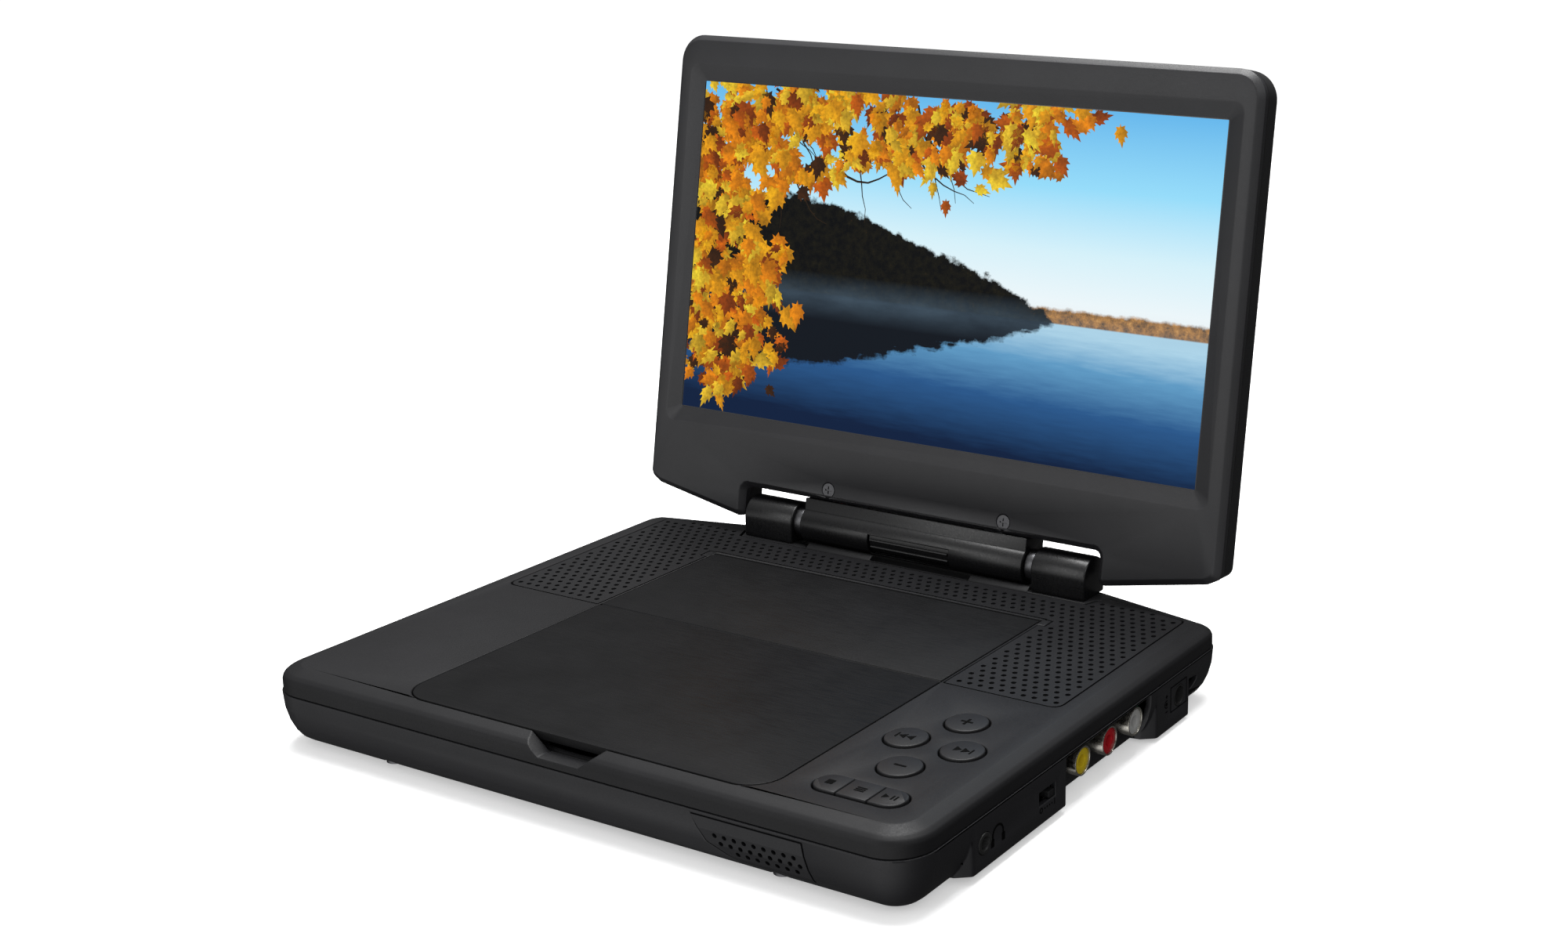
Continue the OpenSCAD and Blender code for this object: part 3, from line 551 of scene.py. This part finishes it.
restyle("lid_back_cover", dict(
    width=1.9 * MM, segments=5, angle=40.0,
    test=lambda p, e: abs(lid_depth(p) - LID_BACK) < FACE_MATCH), merge=False)
restyle("lid_bezel", dict(
    width=1.9 * MM, segments=1, angle=40.0,
    test=lambda p, e: abs(lid_depth(p) - LID_FACE) < FACE_MATCH and on_lid_rim(p)),
    dict(width=0.3 * MM, angle=12.0,
         test=lambda p, e: abs(lid_depth(p) - LID_FACE) < FACE_MATCH), merge=False)


# ---------- perforated panels ----------


def stays_on(tree, point, way, reach):
    """True if four points round this one all meet the plate."""
    side = way.orthogonal().normalized() * reach
    other = way.cross(side).normalized() * reach
    return all(tree.ray_cast(point + step - way * 20 * MM, way, 60 * MM)[0]
               for step in (side, -side, other, -other))


def plate_tree(node):
    """The node's surface, ready for rays to be cast at it."""
    bm = cleaned(node)
    tree = BVHTree.FromBMesh(bm)
    bm.free()
    return tree


def grille_holes():
    """Upright holes in rows 3.13 mm apart, every second row half a step across."""
    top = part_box("speaker_grille")[1].z
    tree = plate_tree("speaker_grille")
    pitch_x = 3.5 * MM
    pitch_y = 3.13 * MM
    back_row = FRONT_Y + 156.15 * MM
    places = []
    for row in range(-2, 24):
        for column in range(-30, 31):
            x = (column + 0.5 * (row % 2)) * pitch_x
            point = Vector((x, back_row - row * pitch_y, top))
            if stays_on(tree, point, Vector((0, 0, -1)), 1.7 * MM):
                places.append(Matrix.Translation(point + Vector((0, 0, MM))))
    return places


def vent_holes():
    """Level holes through the front, every second row half a step across."""
    low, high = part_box("front_vent_panel")
    tree = plate_tree("front_vent_panel")
    inward = Vector((0, 1, 0))
    first_x = low.x + 3.9 * MM
    first_z = high.z - 4.6 * MM
    pitch_x = 3.05 * MM
    pitch_z = 2.15 * MM
    places = []
    facing = Matrix.Rotation(math.radians(90), 4, "X")
    for row in range(5):
        for column in range(12):
            x = first_x + (column - 0.5 * (row % 2)) * pitch_x
            z = first_z - row * pitch_z
            point = Vector((x, low.y - 2 * MM, z))
            if stays_on(tree, point, inward, 1.5 * MM):
                places.append(Matrix.Translation(point) @ facing)
    return places


pierced("speaker_grille", grille_holes(), 0.82 * MM, 4 * MM)
pierced("front_vent_panel", vent_holes(), 0.72 * MM, 14 * MM)


# ---------- signs on the keys and beside the sockets ----------


def bar(x0, y0, x1, y1):
    """An upright rectangle."""
    return [(x0, y0), (x1, y0), (x1, y1), (x0, y1)]


def arrow(x, half, way):
    """A triangle whose base is at x and whose point is to one side of it."""
    return [(x, -half), (x, half), (x + way * 1.6 * half, 0.0)]


def arc(inner, outer, start, end, x=0.0, y=0.0):
    """Part of a ring, as one outline."""
    count = 16
    angles = [math.radians(start + (end - start) * i / count) for i in range(count + 1)]
    out = [(x + outer * math.cos(a), y + outer * math.sin(a)) for a in angles]
    back = [(x + inner * math.cos(a), y + inner * math.sin(a)) for a in reversed(angles)]
    return out + back


key_signs = {
    "volume_up_key": [bar(-1.5, -0.3, 1.5, 0.3), bar(-0.3, 0.3, 0.3, 1.5), bar(-0.3, -1.5, 0.3, -0.3)],
    "volume_down_key": [bar(-1.5, -0.3, 1.5, 0.3)],
    "previous_key": [bar(-2.5, -1.1, -2.1, 1.1), arrow(-0.1, 1.1, -1), arrow(1.9, 1.1, -1)],
    "next_key": [arrow(-1.9, 1.1, 1), arrow(0.1, 1.1, 1), bar(2.1, -1.1, 2.5, 1.1)],
    "stop_key": [bar(-0.9, -0.9, 0.9, 0.9)],
    "menu_key": [bar(-1.2, -0.9, 1.2, -0.5), bar(-1.2, -0.2, 1.2, 0.2), bar(-1.2, 0.5, 1.2, 0.9)],
    "play_key": [arrow(-2.0, 0.9, 1), bar(0.1, -0.9, 0.5, 0.9), bar(1.0, -0.9, 1.4, 0.9)],
}
for name, outlines in key_signs.items():
    low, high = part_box(name)
    middle = Vector(((low.x + high.x) / 2, (low.y + high.y) / 2, high.z))
    body = nodes[name]["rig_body"]
    place = Matrix.Translation(middle) @ Matrix.Scale(1.2, 4)
    raised(name + "_sign", outlines, place, 0.07 * MM, body, "mark")


def beside(node, dy, dz):
    """A spot on the right wall, this far back and up from a node's middle, facing out."""
    low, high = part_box(node)
    spot = Vector((SIDE_X, (low.y + high.y) / 2 + dy * MM, (low.z + high.z) / 2 + dz * MM))
    turn = Matrix.Rotation(math.radians(90), 4, "Z") @ Matrix.Rotation(math.radians(90), 4, "X")
    return Matrix.Translation(spot) @ turn


SIGN_H = 0.06 * MM
headphones = [arc(1.55, 1.95, -20, 200), bar(-2.3, -1.9, -1.3, -0.4), bar(1.3, -1.9, 2.3, -0.4)]
raised("headphone_sign", headphones, beside("dc_jack_pin", -99.0, -0.6) @ Matrix.Scale(1.4, 4), SIGN_H,
       "base", "mark")
switch_signs = [arc(0.5, 0.8, 0, 350, -3.6), bar(3.0, -0.8, 3.3, 0.8)]
switch_signs += [circle(0.25, 10, -1.8 + 1.2 * i) for i in range(4)]
raised("switch_sign", switch_signs, beside("power_switch_knob", -2.2, -2.9), SIGN_H,
       "base", "mark")
power_signs = [bar(-5.6, -3.6, 4.6, -3.3), bar(-5.6, 3.9, 4.6, 4.2),
               bar(-5.6, -3.3, -5.3, 3.9), bar(4.3, -3.3, 4.6, 3.9)]
power_signs += [circle(0.55, 16, -8.0, 0.0), arc(0.95, 1.25, 60, 300, -8.0, 0.0),
                bar(-8.6, 2.2, -7.4, 2.5), bar(-8.15, 1.75, -7.85, 2.95), bar(-8.6, -2.5, -7.4, -2.2)]
raised("power_sign", power_signs, beside("dc_jack_pin", 0.0, 0.0), SIGN_H,
       "base", "mark")


# ---------- picture on the screen ----------

# Heights out of the lid's middle plane: the sheet, the twigs on it, and the first and each next leaf
SHEET_Z = 2.93 * MM
TWIG_Z = 2.938 * MM
LEAF_Z = 2.94 * MM
LEAF_STEP = 0.00004 * MM
TWIG_POINTS = 9


def screen_picture():
    """A thin sheet just in front of the panel."""
    bm = bmesh.new()
    low, high = PICTURE_LOW, PICTURE_LOW + PICTURE_H
    half = PICTURE_W / 2
    corners = [(-half, low), (half, low), (half, high), (-half, high)]
    prism(bm, corners, 0.01 * MM, Matrix.Translation((0, 0, SHEET_Z)))
    mesh = bpy.data.meshes.new("screen_picture")
    bm.to_mesh(mesh)
    bm.free()
    piece = bpy.data.objects.new("screen_picture", mesh)
    piece.matrix_world = LID
    return piece


LEAF_HALF = [(0.0, -0.5), (0.08, -0.32), (0.42, -0.36), (0.34, -0.2), (0.62, 0.0), (0.5, 0.06),
             (0.56, 0.3), (0.34, 0.2), (0.26, 0.28), (0.3, 0.5), (0.16, 0.44), (0.0, 0.78)]


def leaf_outline():
    """A five-lobed leaf, about 1 across."""
    return LEAF_HALF + [(-x, y) for x, y in reversed(LEAF_HALF[1:-1])]


def leafiness(u, v):
    """How likely a leaf is at this spot of the picture: thick at the top left, thin at the right."""
    from_top = 1.0 - v
    reach = 0.46 - 0.5 * u + 0.06 * math.sin(11.0 * u + 1.0)
    top = 1.0 if from_top < reach else 0.0
    thinning = 1.0 - 0.75 * max(0.0, u - 0.45) / 0.55
    side = 1.0 if u < 0.2 - 0.16 * abs(v - 0.35) and v > 0.08 else 0.0
    return max(top * thinning, side * 0.8)


def twigs(bm, paint):
    """Thin dark branches behind the leaves, each bending as it grows away from the top left."""
    rng = random.Random(3)
    for _ in range(16):
        u = rng.uniform(0.0, 0.5)
        v = 1.0 - 0.25 * rng.random()
        heading = math.radians(rng.uniform(-80, -15))
        left = []
        right = []
        for step in range(TWIG_POINTS):
            point = Vector(((u - 0.5) * PICTURE_W, PICTURE_LOW + v * PICTURE_H))
            half = 0.45 * MM * (1.0 - 0.1 * step)
            across = Vector((-math.sin(heading), math.cos(heading))) * half
            left.append(bm.verts.new((point.x + across.x, point.y + across.y, TWIG_Z)))
            right.append(bm.verts.new((point.x - across.x, point.y - across.y, TWIG_Z)))
            u += 0.022 * math.cos(heading)
            v += 0.04 * math.sin(heading)
            heading += math.radians(rng.uniform(-22, 22))
        for i in range(TWIG_POINTS - 1):
            face = bm.faces.new((right[i], right[i + 1], left[i + 1], left[i]))
            for loop in face.loops:
                loop[paint] = (0.02, 0.009, 0.003, 1.0)


def foliage():
    """Overlapping leaves and twigs, cut off at the picture's edges."""
    rng = random.Random(7)
    palette = [(1.0, 0.42, 0.008), (0.9, 0.27, 0.004), (1.0, 0.6, 0.03),
               (0.62, 0.12, 0.003), (0.3, 0.05, 0.002), (0.05, 0.014, 0.002)]
    weights = [7, 5, 5, 3, 2, 2]
    bm = bmesh.new()
    paint = bm.loops.layers.float_color.new("leaf")
    outline = leaf_outline()
    clumps = [(rng.random(), rng.random()) for _ in range(620)]
    twigs(bm, paint)
    count = 0
    for cu, cv in clumps:
        if rng.random() > leafiness(cu, cv):
            continue
        for _ in range(rng.randint(3, 7)):
            u = cu + rng.gauss(0, 0.022)
            v = cv + rng.gauss(0, 0.035)
            size = rng.uniform(4.0, 8.5) * MM
            spin = rng.gauss(math.pi, 0.9)
            squash = rng.uniform(0.45, 1.0)
            colour = rng.choices(palette, weights)[0]
            glow = rng.uniform(0.65, 1.15)
            centre = Vector(((u - 0.5) * PICTURE_W, PICTURE_LOW + v * PICTURE_H))
            height = LEAF_Z + count * LEAF_STEP
            count += 1
            verts = []
            for x, y in outline:
                turned = Matrix.Rotation(spin, 2) @ Vector((x * size * squash, y * size))
                verts.append(bm.verts.new((centre.x + turned.x, centre.y + turned.y, height)))
            face = bm.faces.new(verts)
            if face.calc_area() == 0:
                continue
            face.normal_update()
            if face.normal.z < 0:
                face.normal_flip()
            for loop in face.loops:
                side = 1.12 if outline[verts.index(loop.vert)][0] > 0 else 0.66
                loop[paint] = (*(min(1.0, c * glow * side) for c in colour), 1.0)
    half = PICTURE_W / 2
    cuts = [((half, 0, 0), (1, 0, 0)), ((-half, 0, 0), (-1, 0, 0)),
            ((0, PICTURE_LOW + PICTURE_H, 0), (0, 1, 0)), ((0, PICTURE_LOW, 0), (0, -1, 0))]
    for point, normal in cuts:
        bmesh.ops.bisect_plane(bm, geom=bm.verts[:] + bm.edges[:] + bm.faces[:], dist=0.001 * MM,
                               plane_co=point, plane_no=normal, clear_outer=True)
    bmesh.ops.triangulate(bm, faces=bm.faces)
    mesh = bpy.data.meshes.new("foliage")
    bm.to_mesh(mesh)
    bm.free()
    piece = bpy.data.objects.new("foliage", mesh)
    piece.matrix_world = LID
    return piece


looks["picture"] = lake_picture()
looks["leaves"] = leaf_paint()
for made, look in ((screen_picture(), "picture"), (foliage(), "leaves")):
    bpy.context.scene.collection.objects.link(made)
    made.data.materials.append(looks[look])
    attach(made, "lid")


# ---------- floor, light and camera ----------

FLOOR_R = 1.6
BACKDROP_R = 7.0
LOW_FRONT_GLOW = 1.4


def floor():
    """A wide pale floor, which throws no light back up at the object."""
    made, tree, shader = blank("floor")
    cloud = noise(tree, place_of(tree), 6.0, 3.0)
    pale = ramp(tree, cloud, [(0.3, 0.9), (0.7, 0.93)])
    tree.links.new(pale, shader.inputs["Base Color"])
    shader.inputs["Roughness"].default_value = 0.9
    shader.inputs["Specular IOR Level"].default_value = 0.1
    shader.inputs["Emission Color"].default_value = (1.0, 1.0, 1.0, 1.0)
    shader.inputs["Emission Strength"].default_value = 0.4
    bm = bmesh.new()
    prism(bm, circle(FLOOR_R, 96), 0.01, Matrix.Identity(4))
    mesh = bpy.data.meshes.new("floor")
    bm.to_mesh(mesh)
    bm.free()
    mesh.materials.append(made)
    plane = bpy.data.objects.new("floor", mesh)
    bpy.context.scene.collection.objects.link(plane)
    plane.visible_diffuse = False
    plane.visible_glossy = False


def softbox(name, place, aim, size, watts):
    """A square area light that faces a point."""
    light = bpy.data.lights.new(name, "AREA")
    light.energy = watts
    light.size = size
    lamp = bpy.data.objects.new(name, light)
    bpy.context.scene.collection.objects.link(lamp)
    lamp.location = place
    lamp.rotation_euler = (Vector(aim) - Vector(place)).to_track_quat("-Z", "Y").to_euler()


def backdrop():
    """A white dome far behind everything, seen by the camera only, so that it lights nothing."""
    made, tree, shader = blank("backdrop")
    haze = ramp(tree, noise(tree, place_of(tree), 0.4, 1.0), [(0.3, 0.98), (0.7, 1.0)])
    tree.links.new(haze, shader.inputs["Emission Color"])
    shader.inputs["Emission Strength"].default_value = 1.05
    shader.inputs["Base Color"].default_value = (0.0, 0.0, 0.0, 1.0)
    bm = bmesh.new()
    bmesh.ops.create_uvsphere(bm, u_segments=48, v_segments=24, radius=BACKDROP_R)
    mesh = bpy.data.meshes.new("backdrop")
    bm.to_mesh(mesh)
    bm.free()
    mesh.materials.append(made)
    dome = bpy.data.objects.new("backdrop", mesh)
    bpy.context.scene.collection.objects.link(dome)
    dome.visible_diffuse = False
    dome.visible_glossy = False
    dome.visible_transmission = False
    dome.visible_shadow = False


def studio():
    """Surroundings bright overhead, dim to the sides and paler low in front, with three soft boxes."""
    world = bpy.data.worlds.new("studio")
    world.use_nodes = True
    tree = world.node_tree
    way = add(tree, "ShaderNodeTexCoord").outputs["Generated"]
    parts = add(tree, "ShaderNodeSeparateXYZ", {"Vector": way}).outputs
    overhead = ramp(tree, parts["Z"], [(0.0, 0.07), (0.35, 0.16), (0.9, 0.8)])
    low_down = ramp(tree, parts["Z"], [(0.0, 1.0), (0.3, 0.0)])
    ahead = ramp(tree, calc(tree, "MULTIPLY", parts["Y"], -1.0), [(0.3, 0.0), (0.9, 1.0)])
    low_front = calc(tree, "MULTIPLY", calc(tree, "MULTIPLY", low_down, ahead), LOW_FRONT_GLOW)
    glow = calc(tree, "ADD", overhead, low_front)
    tree.links.new(glow, tree.nodes["Background"].inputs["Color"])
    tree.nodes["Background"].inputs["Strength"].default_value = 0.9
    bpy.context.scene.world = world
    softbox("key_light", (1.2, -0.8, 1.1), (0, 0, 0.05), 0.9, 4.0)
    softbox("top_light", (-0.1, 0.25, 1.5), (0, 0, 0.05), 0.9, 34.0)
    softbox("front_light", (-0.6, -1.4, 0.7), (0, 0, 0.08), 0.8, 4.0)


CAMERA_PLACE = (367.3 * MM, -465.0 * MM, 249.0 * MM)
CAMERA_AZIMUTH = 27.62
CAMERA_ELEVATION = 13.03
CAMERA_ROLL = 0.60
CAMERA_LENS = 47.48
CAMERA_SHIFT = (-0.2433, -0.0877)


def camera():
    """The photograph's viewpoint."""
    az = math.radians(CAMERA_AZIMUTH)
    el = math.radians(CAMERA_ELEVATION)
    roll = math.radians(CAMERA_ROLL)
    back = Vector((math.sin(az) * math.cos(el), -math.cos(az) * math.cos(el), math.sin(el)))
    right = Vector((0, 0, 1)).cross(back).normalized()
    up = back.cross(right)
    across = math.cos(roll) * right + math.sin(roll) * up
    upward = -math.sin(roll) * right + math.cos(roll) * up
    data = bpy.data.cameras.new("camera")
    data.sensor_width = 36.0
    data.lens = CAMERA_LENS
    data.shift_x, data.shift_y = CAMERA_SHIFT
    data.clip_start = 0.01
    eye = bpy.data.objects.new("camera", data)
    bpy.context.scene.collection.objects.link(eye)
    turn = Matrix((across, upward, back)).transposed().to_4x4()
    eye.matrix_world = Matrix.Translation(CAMERA_PLACE) @ turn
    bpy.context.scene.camera = eye


floor()
backdrop()
studio()
camera()
bpy.context.scene.view_settings.view_transform = "Standard"

bpy.context.view_layer.update()
